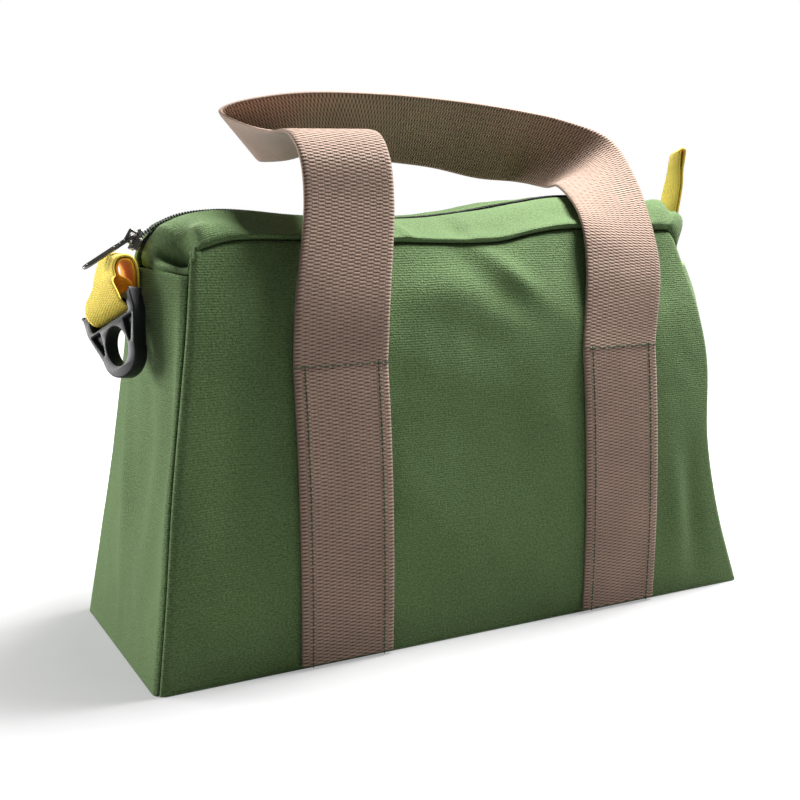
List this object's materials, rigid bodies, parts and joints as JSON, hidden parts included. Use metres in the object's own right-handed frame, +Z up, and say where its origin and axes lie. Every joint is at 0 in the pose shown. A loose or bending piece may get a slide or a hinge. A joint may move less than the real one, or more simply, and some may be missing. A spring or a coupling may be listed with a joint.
{
  "type": "canvas tool bag",
  "caption": "Green canvas tool bag with sloping sides, a zipped top, brown webbing handles, yellow webbing end tabs and a black plastic ring on one of them.",
  "frame": {"origin": "middle of the base panel's underside, on the floor", "axes": "+X along the bag to the right end, +Y to the back, +Z up"},
  "size_m": [0.3795, 0.2126, 0.2869],
  "materials": {
    "canvas": "matte",
    "webbing": "matte",
    "tab": "matte",
    "plastic": "satin",
    "zip": "matte",
    "metal": "polished"
  },
  "bodies": {
    "bag": {"front_panel": "canvas", "back_panel": "canvas", "end_panel_left": "canvas", "end_panel_right": "canvas", "base_panel": "canvas", "top_strip_front": "canvas", "top_strip_back": "canvas", "zip_tape_front": "zip", "zip_tape_back": "zip", "zip_chain": "zip", "zip_slider": "metal", "handle_front": "webbing", "handle_back": "webbing", "loop_left": "tab", "loop_right": "tab"},
    "pull": {"zip_pull": "metal"},
    "ring": {"ring_left": "plastic"}
  },
  "joints": [
    {"name": "pull_hinge", "type": "hinge", "parent": "bag", "child": "pull", "pos_m": [-0.16686, 0, 0.20852], "axis": [0, 1, 0], "range_deg": [0, 110]},
    {"name": "ring_hinge", "type": "hinge", "parent": "bag", "child": "ring", "pos_m": [-0.1795, -0.0065, 0.176], "axis": [0.4502, -0.7693, 0.4533], "range_deg": [-80, 6]}
  ]
}
